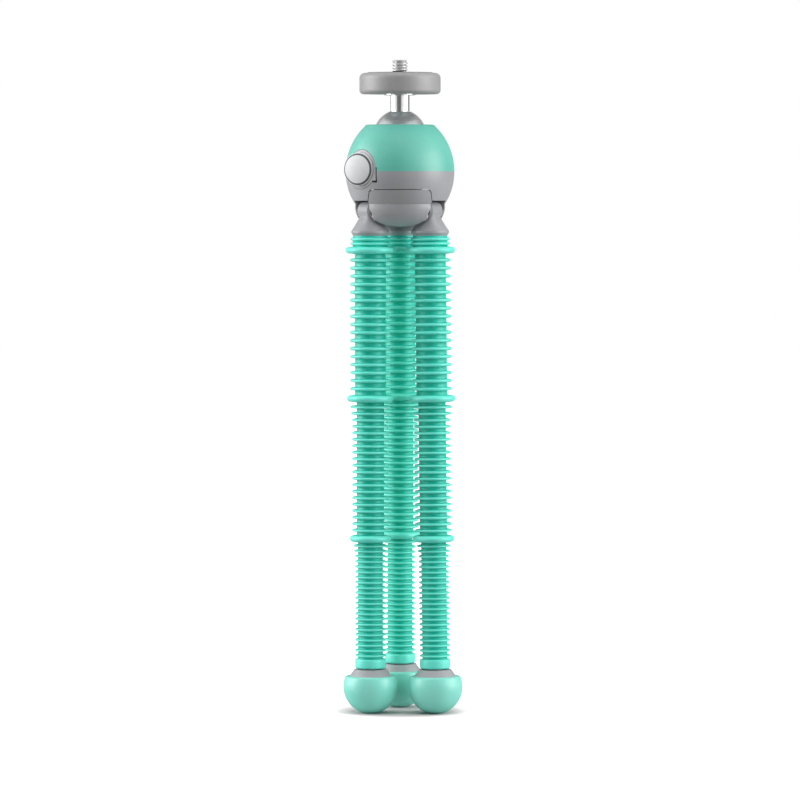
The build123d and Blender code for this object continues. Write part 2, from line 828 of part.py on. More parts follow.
# Ball race: tube round the liner, with a shelf under it and a flange on the posts
with BuildPart() as ball_race:
    race_top = cover_lip_bottom - seam_gap
    shelf_top = ball_height - liner_bottom_drop - seam_gap
    with BuildSketch(Plane.XZ):
        with BuildLine():
            Polyline(
                (race_bore_radius, race_top),
                (race_bore_radius, shelf_top),
                (shelf_radius, shelf_top),
                (shelf_radius, shelf_top - shelf_thickness),
                (race_bore_radius, shelf_top - shelf_thickness),
                (race_bore_radius, race_flange_bottom),
                (race_flange_radius, race_flange_bottom),
                (race_flange_radius, race_flange_bottom + race_flange_thickness),
                (race_outer_radius, race_flange_bottom + race_flange_thickness),
                (race_outer_radius, race_top),
                close=True,
            )
        make_face()
    revolve(axis=Axis.Z)
    add(bezel_pocket.part, mode=Mode.SUBTRACT)
    with BuildSketch(button_plane(0)):
        Circle(plunger_radius + free_gap)
    extrude(amount=housing_radius, mode=Mode.SUBTRACT)
    with Locations((0, 0, race_flange_bottom)):
        with PolarLocations(race_post_circle, leg_count, start_angle=race_post_angle):
            Cylinder(
                race_screw_radius + seam_gap, 2 * race_screw_length, mode=Mode.SUBTRACT
            )
keep(ball_race.part, "ball_race", dark)

with BuildPart() as race_screws:
    race_screw = screw(
        race_screw_radius, race_screw_length, race_screw_head_radius, race_screw_head_height, -1
    )
    with Locations((0, 0, race_flange_bottom + race_flange_thickness)):
        with PolarLocations(race_post_circle, leg_count, start_angle=race_post_angle):
            add(race_screw)
keep(race_screws.part, "race_screws", metal)

# Ball liner: low friction ring that the ball turns in
with BuildPart() as ball_liner:
    with Locations((0, 0, ball_height - liner_bottom_drop)):
        Cylinder(
            liner_outer_radius,
            liner_bottom_drop + liner_top_rise,
            align=(Align.CENTER, Align.CENTER, Align.MIN),
        )
    with Locations((0, 0, ball_height)):
        Sphere(ball_radius + running_gap, mode=Mode.SUBTRACT)
keep(ball_liner.part, "ball_liner", dark)

# Ball, flat on top, with the hole for the stem
with BuildPart() as ball:
    with Locations((0, 0, ball_height)):
        Sphere(ball_radius)
    split(bisect_by=Plane.XY.offset(ball_height + ball_flat_height), keep=Keep.BOTTOM)
    with Locations((0, 0, ball_height + ball_flat_height)):
        Cylinder(
            ball_hole_radius,
            2 * ball_hole_depth,
            mode=Mode.SUBTRACT,
        )
keep(ball.part, "ball", metal)

# Brake shoe: cup under the ball, stem, side arm with its ramp, and guide pin
arm_bottom = button_height_z - arm_under_button
arm_top_at_axis = arm_bottom + arm_height
with BuildPart() as brake_shoe:
    cup_rim = ball_height - sqrt((ball_radius + running_gap) ** 2 - shoe_radius**2)
    with BuildSketch(Plane.XZ):
        with BuildLine():
            Polyline(
                (0, cup_rim),
                (shoe_radius, cup_rim),
                (shoe_radius, cup_rim - shoe_rim),
                (shoe_stem_radius, ball_height - shoe_waist_drop),
                (shoe_stem_radius, arm_bottom + shoe_seat_height),
                (shoe_seat_radius, arm_bottom + shoe_seat_height),
                (shoe_seat_radius, arm_bottom),
                (shoe_guide_radius, arm_bottom),
                (shoe_guide_radius, arm_bottom - shoe_guide_length),
                (0, arm_bottom - shoe_guide_length),
                close=True,
            )
        make_face()
    revolve(axis=Axis.Z)
    with Locations((0, 0, ball_height)):
        Sphere(ball_radius + running_gap, mode=Mode.SUBTRACT)
    ramp_run = arm_width / 2
    ramp_climb = ramp_run * tan(radians(ramp_angle))
    with BuildSketch(
        Plane(origin=(0, 0, arm_top_at_axis), x_dir=button_direction, z_dir=button_side)
    ):
        with BuildLine():
            Polyline(
                (-ramp_run, ramp_climb),
                (ramp_run, -ramp_climb),
                (ramp_run, -arm_height),
                (-ramp_run, -arm_height),
                close=True,
            )
        make_face()
    extrude(amount=button_offset + wedge_width / 2)
keep(brake_shoe.part, "brake_shoe", dark)


def coil(radius, length, turns, wire, plane):
    """A compression spring, with its coils along a plane's normal."""
    pitch = (length - wire) / turns
    with BuildPart() as spring:
        with BuildLine(plane) as centre_line:
            Helix(pitch=pitch, height=length - wire, radius=radius)
        start = centre_line.line @ 0
        with BuildSketch(Plane(origin=start, z_dir=centre_line.line % 0)):
            RegularPolygon(wire / 2, wire_sides)
        sweep(is_frenet=True)
    return spring.part


# Brake spring in the hub's well, pressing the shoe up under its arm
well_floor = hinge_height - spring_well_drop
brake_spring_length = arm_bottom - well_floor - 2 * seam_gap
brake_spring = coil(
    brake_coil_radius,
    brake_spring_length,
    brake_coil_turns,
    brake_wire,
    Plane.XY.offset(well_floor + seam_gap + brake_wire / 2),
)
keep(brake_spring, "brake_spring", metal)

# Lock button, made on its own axis with the head's axis at the origin: domed cap, recess behind
button_place = button_plane(0).location
button_back = button_face - button_height
recess_floor = button_face - button_web
with BuildPart() as lock_button:
    with BuildSketch(Plane.XZ):
        with BuildLine():
            Polyline(
                (0, button_face + button_crown),
                (0, recess_floor),
                (button_recess_radius, recess_floor),
                (button_recess_radius, button_back),
                (button_radius, button_back),
                (button_radius, button_face - button_edge),
                (button_radius - button_edge, button_face),
            )
            TangentArc(
                (0, button_face + button_crown),
                (button_radius - button_edge, button_face),
                tangent=(1, 0),
            )
        make_face()
    revolve(axis=Axis.Z)
keep(lock_button.part.moved(button_place), "lock_button", metal)

# Plunger: rod behind the button, and the wedge whose sloped foot draws the shoe down
with BuildPart() as button_plunger:
    with BuildSketch(Plane.XY.offset(plunger_end)):
        Circle(plunger_radius)
    extrude(amount=recess_floor - plunger_end)
    arm_rise_at_axis = arm_top_at_axis - button_height_z
    foot_at_axis = arm_rise_at_axis + seam_gap / cos(radians(ramp_angle))
    slope = tan(radians(ramp_angle))
    wedge_stop = wedge_start + wedge_length
    with BuildSketch(Plane(origin=(0, 0, 0), x_dir=(0, 0, 1), z_dir=(1, 0, 0))):
        with BuildLine():
            Polyline(
                (wedge_start, 0),
                (wedge_start, foot_at_axis - wedge_start * slope),
                (wedge_stop, foot_at_axis - wedge_stop * slope),
                (wedge_stop, 0),
                close=True,
            )
        make_face()
    extrude(amount=wedge_width / 2, both=True)
keep(button_plunger.part.moved(button_place), "button_plunger", dark)

# Button spring between the bezel's back wall and the cap
bezel_floor = bezel_back + bezel_back_wall
button_spring = coil(
    button_coil_radius,
    recess_floor - bezel_floor - 2 * seam_gap,
    button_coil_turns,
    button_wire,
    Plane.XY.offset(bezel_floor + seam_gap + button_wire / 2),
)
keep(button_spring.moved(button_place), "button_spring", metal)

# Stem with the flange that the platform sits on
with BuildPart() as ball_stem:
    stem_bottom = ball_height + ball_flat_height + seam_gap
    flange_bottom = platform_bottom - stem_flange_show
    with Locations((0, 0, stem_bottom - spigot_length)):
        Cylinder(
            spigot_radius, spigot_length, align=(Align.CENTER, Align.CENTER, Align.MIN)
        )
    with Locations((0, 0, stem_bottom)):
        Cylinder(
            stem_radius,
            flange_bottom - stem_bottom,
            align=(Align.CENTER, Align.CENTER, Align.MIN),
        )
    with Locations((0, 0, flange_bottom)):
        Cylinder(
            stem_flange_radius,
            stem_flange_height,
            align=(Align.CENTER, Align.CENTER, Align.MIN),
        )
    chamfer(ball_stem.edges().filter_by(GeomType.CIRCLE).group_by(Axis.Z)[0], spigot_edge)
    chamfer(
        ball_stem.edges().filter_by(GeomType.CIRCLE).sort_by(SortBy.RADIUS)[-2:],
        stem_flange_edge,
    )
keep(ball_stem.part, "ball_stem", metal)

# Camera screw: head and slimmer neck inside the platform, full shank standing out of it
screw_head_bottom = flange_bottom + stem_flange_height + seam_gap
with BuildPart() as camera_screw:
    with Locations((0, 0, screw_head_bottom)):
        Cylinder(
            screw_head_radius, screw_head_height, align=(Align.CENTER, Align.CENTER, Align.MIN)
        )
        Cylinder(
            screw_neck_radius,
            platform_top + screw_show - screw_head_bottom,
            align=(Align.CENTER, Align.CENTER, Align.MIN),
        )
    with Locations((0, 0, platform_top + screw_neck_show)):
        Cylinder(
            screw_radius,
            screw_show - screw_neck_show,
            align=(Align.CENTER, Align.CENTER, Align.MIN),
        )
    chamfer(camera_screw.edges().group_by(Axis.Z)[-1], screw_tip_edge)
keep(camera_screw.part, "camera_screw", metal)

# Platform disc: rounded wheel with room for the flange, the screw's head and the pad
disc_top = platform_top - pad_proud
with BuildPart() as platform_disc:
    with BuildSketch(Plane.XY.offset(platform_bottom)):
        Circle(platform_radius)
    extrude(amount=disc_top - platform_bottom)
    rim = platform_disc.edges().filter_by(GeomType.CIRCLE).sort_by(Axis.Z)
    fillet(rim[-1], platform_top_round)
    fillet(
        platform_disc.edges().filter_by(GeomType.CIRCLE).group_by(Axis.Z)[0],
        platform_bottom_round,
    )
    with Locations((0, 0, platform_bottom)):
        Cylinder(
            stem_flange_radius + seam_gap,
            2 * (stem_flange_height - stem_flange_show + seam_gap),
            mode=Mode.SUBTRACT,
        )
        Cylinder(
            screw_head_radius + seam_gap,
            2 * (screw_head_bottom - platform_bottom + screw_head_height + seam_gap),
            mode=Mode.SUBTRACT,
        )
        Cylinder(screw_radius + seam_gap, 2 * platform_height + overrun, mode=Mode.SUBTRACT)
    with BuildSketch(Plane.XY.offset(platform_top - pad_thickness)):
        Circle(pad_radius + seam_gap)
        Circle(pad_inner_radius - seam_gap, mode=Mode.SUBTRACT)
    extrude(amount=pad_thickness, mode=Mode.SUBTRACT)
keep(platform_disc.part, "platform_disc", grey)

with BuildPart() as platform_pad:
    with BuildSketch(Plane.XY.offset(platform_top - pad_thickness + seam_gap)):
        Circle(pad_radius)
        Circle(pad_inner_radius, mode=Mode.SUBTRACT)
    extrude(amount=pad_thickness - seam_gap)
keep(platform_pad.part, "platform_pad", dark)
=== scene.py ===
import json
from math import cos, radians, sin

import bpy
import numpy as np
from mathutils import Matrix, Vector


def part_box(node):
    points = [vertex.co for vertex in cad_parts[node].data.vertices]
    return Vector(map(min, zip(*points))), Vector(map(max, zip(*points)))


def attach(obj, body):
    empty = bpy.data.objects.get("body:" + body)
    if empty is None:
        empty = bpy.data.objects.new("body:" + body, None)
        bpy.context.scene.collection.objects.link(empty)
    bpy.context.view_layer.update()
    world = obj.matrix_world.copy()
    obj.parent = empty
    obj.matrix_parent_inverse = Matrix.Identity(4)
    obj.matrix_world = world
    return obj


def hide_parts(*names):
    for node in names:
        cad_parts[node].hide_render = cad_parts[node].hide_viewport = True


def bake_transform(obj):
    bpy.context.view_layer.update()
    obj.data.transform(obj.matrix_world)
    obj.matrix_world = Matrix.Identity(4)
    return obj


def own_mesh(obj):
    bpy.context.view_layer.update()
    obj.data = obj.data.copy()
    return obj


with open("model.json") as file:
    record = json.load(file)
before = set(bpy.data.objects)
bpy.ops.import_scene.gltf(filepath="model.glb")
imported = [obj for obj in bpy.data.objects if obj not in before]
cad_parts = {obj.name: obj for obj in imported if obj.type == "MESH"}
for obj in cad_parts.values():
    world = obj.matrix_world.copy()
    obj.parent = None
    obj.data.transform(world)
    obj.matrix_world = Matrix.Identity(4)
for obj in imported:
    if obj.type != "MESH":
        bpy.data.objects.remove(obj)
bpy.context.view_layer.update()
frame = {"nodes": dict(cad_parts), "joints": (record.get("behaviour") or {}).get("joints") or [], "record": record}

# A flexible leg tripod: the solids carry the shape, and this script gives them their finishes,
# the ribbed sleeves, the cut thread of the camera screw and the springs in the head.
# Every length is in metres, in the frame of the solids. A drop is a distance down a leg.

mm = 0.001

# Sleeve of one leg, sizes in millimetres from its hinge down. A tone is painted light and shade:
# how far the rubber's colour is from the shaded colour of the grooves, 0, to the lit colour of the crests, 1.
leg_names = ["front_left", "front_right", "back"]
joint_order = [
    "upper_bend",
    "upper_sway",
    "middle_bend",
    "middle_sway",
    "lower_bend",
    "lower_sway",
]
sleeve_top_drop = 10.1
head_root_radius = 7.0
head_rib_radius = 8.0
head_rib_drops = [11.5, 13.3]
head_rib_width = 1.2
ring_drops = [16.0, 76.16, 133.12]
ring_radii = [10.05, 9.55, 8.45]
ring_thicknesses = [3.0, 3.1, 3.1]
rib_counts = [17, 20, 22]
rib_pitches = [3.26, 2.64, 2.13]
rib_radii = [8.25, 7.5, 6.3]
root_radii = [6.25, 5.55, 5.1]
ring_spaces = [4.0, 3.4, 2.9]
lead_rib_growths = [0.0, 0.7, 0.6]
lead_rib_count = 2
rib_width_share = 0.44
crest_share = 0.85
sleeve_wall = 0.9
cuff_top_drop = 182.05
cuff_bottom_drop = 185.95
cuff_radius = 6.25
cuff_edge = 0.7
root_fillet = 0.3
blend_reach = 6.0
seam_sliver = 0.02
bore_step = 1.5
sleeve_columns = 72
crest_steps = 9
fillet_steps = 4
cuff_edge_steps = 6
top_end_tone = 0.6
cuff_head_tone = 0.2
cuff_tone = 0.9
rib_waver = 0.02
waver_drop_per_radian = 4.3
waver_phase_per_leg = 2.1

# Camera screw, sizes in millimetres
screw_pitch = 1.27
screw_crest_radius = 3.175
screw_root_radius = 2.52
screw_neck_radius = 2.5
screw_head_radius = 5.0
screw_head_height = 2.0
screw_thread_length = 4.7
screw_flank_steepness = 1.5
screw_root_flatness = 0.25
screw_tip_edge = 0.6
screw_head_edge = 0.25
screw_columns = 96
screw_rows = 80

# Springs of the head, sizes in millimetres
brake_wire = 0.9
brake_coil_radius = 4.5
brake_coil_turns = 5
button_wire = 0.6
button_coil_radius = 4.2
button_coil_turns = 4
coil_steps = 36
wire_columns = 10


class Shade:
    """One shader socket. Arithmetic between these, or with numbers, adds Math nodes."""

    def __init__(self, tree, socket):
        self.tree = tree
        self.socket = socket

    def node(self, kind, settings=None, inputs=None, output=0):
        """A new node: its settings first, then a value or link for each socket named."""
        made = self.tree.nodes.new(kind)
        for name, setting in (settings or {}).items():
            setattr(made, name, setting)
        for name, term in (inputs or {}).items():
            if isinstance(term, Shade):
                self.tree.links.new(term.socket, made.inputs[name])
            else:
                made.inputs[name].default_value = term
        return Shade(self.tree, made.outputs[output])

    def maths(self, operation, *terms):
        """A Math node on these terms, in order."""
        return self.node("ShaderNodeMath", {"operation": operation}, dict(enumerate(terms)))

    def __add__(self, other):
        return self.maths("ADD", self, other)

    __radd__ = __add__

    def __sub__(self, other):
        return self.maths("SUBTRACT", self, other)

    def __rsub__(self, other):
        return self.maths("SUBTRACT", other, self)

    def __mul__(self, other):
        return self.maths("MULTIPLY", self, other)

    __rmul__ = __mul__

    def __truediv__(self, other):
        return self.maths("DIVIDE", self, other)

    def __pow__(self, other):
        return self.maths("POWER", self, other)

    def between(self, low, high):
        """0 below low, 1 above high, with a smooth step from one to the other."""
        return self.node(
            "ShaderNodeMapRange",
            {"interpolation_type": "SMOOTHSTEP"},
            {"Value": self, "From Min": low, "From Max": high, "To Min": 0.0, "To Max": 1.0},
        )

    def mixed(self, colour_at_0, colour_at_1):
        """A colour between two, by this factor."""
        return self.node(
            "ShaderNodeMix",
            {"data_type": "RGBA"},
            {0: self, 6: colour_at_0, 7: colour_at_1},
            output=2,
        )

    def noise(self, scale, detail=3.0, roughness=0.5):
        """Noise at this place, with scale in waves to the metre."""
        return self.node(
            "ShaderNodeTexNoise",
            inputs={"Vector": self, "Scale": scale, "Detail": detail, "Roughness": roughness},
        )

    def rings(self, scale, detail):
        """Noise along this one length, with scale in waves to the metre."""
        return self.node(
            "ShaderNodeTexNoise",
            {"noise_dimensions": "1D"},
            {"W": self, "Scale": scale, "Detail": detail},
        )

    def moved(self, centre, turn=(0.0, 0.0, 0.0)):
        """This place seen from a centre, with its axes turned by angles in radians."""
        shifted = self.node(
            "ShaderNodeVectorMath",
            {"operation": "SUBTRACT"},
            {0: self, 1: centre},
        )
        return self.node(
            "ShaderNodeMapping", {"vector_type": "POINT"}, {"Vector": shifted, "Rotation": turn}
        )

    def part(self, axis):
        """The x, y or z of this place, by 0, 1 or 2."""
        return self.node("ShaderNodeSeparateXYZ", inputs={"Vector": self}, output=axis)

    def from_axis(self):
        """How far this place is from its z axis: the square root of x * x + y * y."""
        across = self.part(0)
        along = self.part(1)
        return (across * across + along * along) ** 0.5

    def is_ray(self, kind):
        """1 for a ray of this kind, such as Camera, and 0 for any other."""
        return self.node("ShaderNodeLightPath", output=f"Is {kind} Ray")

    def bump(self, height, rise):
        """A normal for this height field, rise metres high where the field is 1."""
        return self.node("ShaderNodeBump", inputs={"Height": height, "Distance": rise})


def start_finish(name):
    """A new material: its place on Object coordinates, and a way to set its main shader."""
    material = bpy.data.materials.new(name)
    material.use_nodes = True
    tree = material.node_tree
    main = tree.nodes["Principled BSDF"]
    coordinates = tree.nodes.new("ShaderNodeTexCoord")
    place = Shade(tree, coordinates.outputs["Object"])

    def set_main(**sockets):
        for name, term in sockets.items():
            socket = main.inputs[name.replace("_", " ")]
            if isinstance(term, Shade):
                tree.links.new(term.socket, socket)
            else:
                socket.default_value = term

    return material, place, set_main


def lightened(colour, share):
    """The colour moved towards white by this share, or towards black if it is negative."""
    target = 1.0 if share > 0 else 0.0
    return tuple(channel + (target - channel) * abs(share) for channel in colour) + (1.0,)


def clouded(clouds, spread, colour, darker, lighter):
    """The colour in soft clouds, from one share darker to one share lighter. It changes while
    the clouds' noise goes from 0.5 - spread to 0.5 + spread."""
    tone = clouds.between(0.5 - spread, 0.5 + spread)
    return tone.mixed(lightened(colour, -darker), lightened(colour, lighter))


def moulded_finish(name, colour, roughness, grain=3200.0, grain_rise=0.000012, cloud=0.05):
    """Moulded plastic: fine erosion grain, faint clouds of tone and a wandering roughness."""
    material, place, set_main = start_finish(name)
    clouds = place.noise(55.0, detail=4.0)
    grains = place.noise(grain, detail=2.0, roughness=0.6)
    set_main(
        Base_Color=clouded(clouds, 0.2, colour, cloud, cloud),
        Roughness=roughness + 0.12 * (grains - 0.5) + 0.08 * (clouds - 0.5),
        Normal=place.bump(grains, grain_rise),
        Specular_IOR_Level=0.7,
    )
    return material


def rubber_finish(name, lit_crest_colour, shaded_root_colour, roughness):
    """Soft rubber of the sleeves: painted shade down between the ribs and painted light on the crests, which are a
    little less rough.
    """
    material, place, set_main = start_finish(name)
    crest = place.node("ShaderNodeAttribute", {"attribute_name": "crest"}, output=2)
    clouds = place.noise(70.0, detail=4.0)
    skin = place.noise(2600.0, detail=2.0, roughness=0.6)
    # Painted light and shade: from the shaded colour in the grooves to the lit colour on the crests
    tone = (crest + 0.25 * (clouds - 0.5)).between(0.05, 0.8)
    set_main(
        Base_Color=tone.mixed((*shaded_root_colour, 1.0), (*lit_crest_colour, 1.0)),
        Roughness=roughness + 0.1 * (skin - 0.5) - 0.06 * crest,
        Normal=place.bump(skin, 0.000012),
        Specular_IOR_Level=0.6,
    )
    return material


def foot_finish(name, colour, roughness):
    """Soft rubber of the feet, like the sleeves' crests: a little darker and rougher near the floor."""
    material, place, set_main = start_finish(name)
    clouds = place.noise(60.0, detail=5.0)
    skin = place.noise(2400.0, detail=2.0, roughness=0.6)
    # Darker and rougher in a low band near the floor, with a wavering top edge
    low_band_bottom = 0.2 * mm
    low_band_top = 1.6 * mm
    low_band_waver = 1.2 * mm
    low_band_darkening = 0.6
    height = place.part(2) + low_band_waver * (clouds - 0.5)
    low_band = (1 - height.between(low_band_bottom, low_band_top)) * low_band_darkening
    set_main(
        Base_Color=low_band.mixed(
            clouded(clouds, 0.2, colour, 0.04, 0.05), lightened(colour, -0.35)
        ),
        Roughness=roughness + 0.1 * (skin - 0.5) + 0.15 * low_band,
        Normal=place.bump(skin, 0.000014),
        Specular_IOR_Level=0.75,
    )
    return material


def turned_metal_finish(name, colour, roughness, centre, grooves, groove_rise, smear, metal=1.0):
    """Metal turned on a lathe: faint rings square to the axis, and tone that wanders slowly."""
    material, place, set_main = start_finish(name)
    rings = place.moved(centre).part(2).rings(grooves, detail=3.0)
    clouds = place.noise(smear, detail=4.0)
    set_main(
        Base_Color=clouded(clouds, 0.25, colour, 0.06, 0.06),
        Metallic=metal,
        Roughness=roughness + 0.12 * (rings - 0.5) + 0.1 * (clouds - 0.5),
        Normal=place.bump(rings, groove_rise),
    )
    return material


def button_finish(name, face_colour, rim_shade_colour, centre, turn, rim_radius, rim_width):
    """Pressed metal cap: bright frosted face, with a dark ring of painted shade near its edge, for the gap round
    the cap. The ring is 1 where the radius is between its start and its end, with both edges a little blurred."""
    material, place, set_main = start_finish(name)
    radius = place.moved(centre, turn).from_axis()
    blur = 0.12 * mm
    rim_end = rim_radius + rim_width
    # Painted shade of the gap round the cap, as a dark ring near its edge
    rim_shade = radius.between(rim_radius, rim_radius + blur) * (
        1 - radius.between(rim_end, rim_end + blur)
    )
    rings = radius.rings(2500.0, detail=2.0)
    clouds = place.noise(220.0, detail=3.0)
    set_main(
        Base_Color=rim_shade.mixed(
            clouded(clouds, 0.3, face_colour, 0.05, 0.06), (*rim_shade_colour, 1.0)
        ),
        Metallic=0.0,
        Roughness=0.5 + 0.14 * (clouds - 0.5) + 0.1 * (rings - 0.5),
        Normal=place.bump(clouds, 0.000005),
    )
    return material


def screw_finish(name, colour):
    """Cut steel: fine lines along the thread, painted shade and a duller surface down in the groove, and painted
    light on the crests.
    """
    material, place, set_main = start_finish(name)
    crest = place.from_axis().between(screw_root_radius * mm, screw_crest_radius * mm)
    streaks = place.noise(1800.0, detail=3.0)
    set_main(
        Base_Color=crest.mixed(lightened(colour, -0.3), lightened(colour, 0.1)),
        Metallic=0.6,
        Roughness=0.5 - 0.14 * crest + 0.12 * (streaks - 0.5),
        Normal=place.bump(streaks, 0.000006),
    )
    return material


# A finish for each material slot, and one for the feet. Grain, grooves and smear are in waves to
# the metre, rises and centres are in metres, and colours are linear.
ball_centre = (0.0, 0.0, 0.2346)
finishes = {
    "teal_shell": moulded_finish(
        "soft_teal_shell", (0.12, 0.54, 0.43), roughness=0.42, grain=3000.0, cloud=0.03
    ),
    "grey_shell": moulded_finish("satin_grey_shell", (0.36, 0.365, 0.385), roughness=0.4),
    "platform_grey": moulded_finish("satin_grey_platform", (0.33, 0.33, 0.33), roughness=0.46),
    "pad_rubber": moulded_finish(
        "matt_pad", (0.06, 0.06, 0.065), roughness=0.75, grain=1500.0, grain_rise=0.00004
    ),
    "black_plastic": moulded_finish("matt_black_moulding", (0.02, 0.02, 0.022), roughness=0.55),
    "teal_rubber": rubber_finish(
        "ribbed_teal_rubber",
        lit_crest_colour=(0.15, 0.86, 0.71),
        shaded_root_colour=(0.004, 0.60, 0.47),
        roughness=0.45,
    ),
    "foot_rubber": foot_finish("teal_foot_rubber", (0.22, 0.77, 0.64), roughness=0.42),
    "ball_metal": turned_metal_finish(
        "satin_grey_ball",
        (0.56, 0.57, 0.59),
        roughness=0.28,
        centre=ball_centre,
        grooves=5000.0,
        groove_rise=0.000002,
        smear=90.0,
        metal=0.6,
    ),
    "bright_metal": turned_metal_finish(
        "polished_stem",
        (0.86, 0.87, 0.88),
        roughness=0.17,
        centre=ball_centre,
        grooves=4000.0,
        groove_rise=0.000001,
        smear=120.0,
    ),
    "steel": turned_metal_finish(
        "plain_steel",
        (0.55, 0.55, 0.57),
        roughness=0.32,
        centre=(0.0, 0.0, 0.0),
        grooves=6000.0,
        groove_rise=0.000003,
        smear=150.0,
    ),
}


# Surfaces on a grid of two parameters
def grid_faces(rows, columns, rows_closed):
    """Quads of a grid that is closed across its columns, and across its rows if said so."""
    row = np.arange(rows if rows_closed else rows - 1)[:, None]
    column = np.arange(columns)[None, :]
    next_row = (row + 1) % rows
    next_column = (column + 1) % columns
    return np.stack(
        [
            row * columns + column,
            next_row * columns + column,
            next_row * columns + next_column,
            row * columns + next_column,
        ],
        axis=-1,
    ).reshape(-1, 4)


def capped_faces(rows, columns, turned_over=False):
    """Faces of a tube with closed ends: the grid, then a fan from each end row to its own pole,
    where the poles are the two points after the grid's. Turned over, they face the other way."""
    column = np.arange(columns)
    around = (column + 1) % columns
    pole = np.full(columns, rows * columns)
    last_row = (rows - 1) * columns
    groups = [
        grid_faces(rows, columns, rows_closed=False),
        np.stack([pole, column, around], axis=1),
        np.stack([pole + 1, last_row + around, last_row + column], axis=1),
    ]
    step = -1 if turned_over else 1
    return [face for group in groups for face in group[:, ::step].tolist()]


def make_piece(name, points, faces, material):
    """A mesh piece from points and faces, shaded smooth, at the origin."""
    mesh = bpy.data.meshes.new(name)
    mesh.from_pydata(points.reshape(-1, 3).tolist(), [], faces)
    mesh.polygons.foreach_set("use_smooth", [True] * len(mesh.polygons))
    mesh.materials.append(material)
    mesh.update()
    piece = bpy.data.objects.new(name, mesh)
    bpy.context.scene.collection.objects.link(piece)
    return piece


# Ribbed sleeves
def rib_outline(drop, root_above, tip, root_below, width):
    """One rib from above to below: a quarter round fillet at its root, straight sides that lean
    in a little, and a half round crest. Columns are drop, radius and how far out, from 0 to 1."""
    half = width / 2
    crest = half * crest_share
    turn = np.radians(np.linspace(-90, 90, crest_steps))
    arc = np.stack([drop + crest * np.sin(turn), tip - crest + crest * np.cos(turn)], axis=1)
    corner = np.radians(np.linspace(0, 90, fillet_steps))
    fillet = root_fillet * (1 - np.stack([np.sin(corner), np.cos(corner)], axis=1))
    above = np.stack([drop - half - fillet[:, 0], root_above + fillet[:, 1]], axis=1)
    below = np.stack([drop + half + fillet[::-1, 0], root_below + fillet[::-1, 1]], axis=1)
    outline = np.concatenate([above, arc, below])
    root = min(root_above, root_below)
    return np.column_stack([outline, np.clip((outline[:, 1] - root) / (tip - root), 0, 1)])


def sleeve_outline():
    """The outside of a sleeve from its top end to its cuff's foot, as rib_outline gives it."""
    parts = [np.array([[sleeve_top_drop, head_root_radius, top_end_tone]])]
    for drop in head_rib_drops:
        parts.append(
            rib_outline(drop, head_root_radius, head_rib_radius, head_root_radius, head_rib_width)
        )
    root_above = head_root_radius
    for i, ring_drop in enumerate(ring_drops):
        root = root_radii[i]
        parts.append(rib_outline(ring_drop, root_above, ring_radii[i], root, ring_thicknesses[i]))
        for j in range(rib_counts[i]):
            drop = ring_drop + ring_spaces[i] + j * rib_pitches[i]
            tip = rib_radii[i] + lead_rib_growths[i] * max(0, 1 - j / lead_rib_count)
            parts.append(rib_outline(drop, root, tip, root, rib_width_share * rib_pitches[i]))
        root_above = root
    turn = np.radians(np.linspace(0, 90, cuff_edge_steps))
    edge = cuff_edge
    cuff = np.concatenate(
        [
            np.array([[cuff_top_drop, root_above]]),
            np.stack(
                [
                    cuff_top_drop + edge * (1 - np.cos(turn)),
                    cuff_radius - edge + edge * np.sin(turn),
                ],
                axis=1,
            ),
            np.stack(
                [
                    cuff_bottom_drop - edge + edge * np.sin(turn),
                    cuff_radius - edge + edge * np.cos(turn),
                ],
                axis=1,
            ),
        ]
    )
    parts.append(np.column_stack([cuff, np.full(len(cuff), cuff_tone)]))
    parts[-1][0, 2] = cuff_head_tone
    return np.concatenate(parts)


def groove_near(i, drop):
    """The middle of the groove between two ribs of stretch i that is nearest to this drop."""
    first = ring_drops[i] + ring_spaces[i]
    return first + (np.round((drop - first) / rib_pitches[i] - 0.5) + 0.5) * rib_pitches[i]


def sleeve_piece(name, outline, start, end, bore, hip, outward, down, phase):
    """A length of sleeve as a closed tube: the outline between two drops, then the bore back up.
    A point is hip + down * drop + radius * (outward * cos a + sideways * sin a), and each rib's
    crest wavers along the leg by a sine of 2 a + phase + drop / waver_drop_per_radian."""
    cut = outline[(outline[:, 0] > start + seam_sliver) & (outline[:, 0] < end - seam_sliver)]
    first = np.array([[start, cut[0, 1], cut[0, 2]], [start + seam_sliver, cut[0, 1], cut[0, 2]]])
    last = np.array([[end - seam_sliver, cut[-1, 1], cut[-1, 2]], [end, cut[-1, 1], cut[-1, 2]]])
    inside_drops = np.linspace(end, start, int((end - start) / bore_step) + 2)
    inside = np.zeros((len(inside_drops), 3))
    inside[:, 0] = inside_drops
    inside[:, 1] = bore
    loop = np.concatenate([first, cut, last, inside])
    angle = np.linspace(0, 2 * np.pi, sleeve_columns, endpoint=False)
    sideways = np.cross(down, outward)
    spokes = np.cos(angle)[:, None] * outward + np.sin(angle)[:, None] * sideways
    turns = 2 * angle[None, :] + phase + loop[:, :1] / waver_drop_per_radian
    drops = (loop[:, :1] + rib_waver * loop[:, 2:] * np.sin(turns)) * mm
    points = hip + down * drops[..., None] + spokes[None] * (loop[:, 1] * mm)[:, None, None]
    faces = grid_faces(len(loop), sleeve_columns, rows_closed=True)[:, ::-1].tolist()
    piece = make_piece(name, points, faces, finishes["teal_rubber"])
    # The crest attribute carries the rubber's painted light and shade, one tone for each row
    crest = piece.data.attributes.new("crest", "FLOAT", "POINT")
    crest.data.foreach_set("value", np.repeat(loop[:, 2], sleeve_columns).astype(np.float32))
    return piece


joints = {joint["name"]: joint for joint in frame["joints"]}


def solid_points(name):
    """The corner points of a solid, one in each row."""
    vertices = frame["nodes"][name].data.vertices
    points = np.empty(3 * len(vertices))
    vertices.foreach_get("co", points)
    return points.reshape(-1, 3)


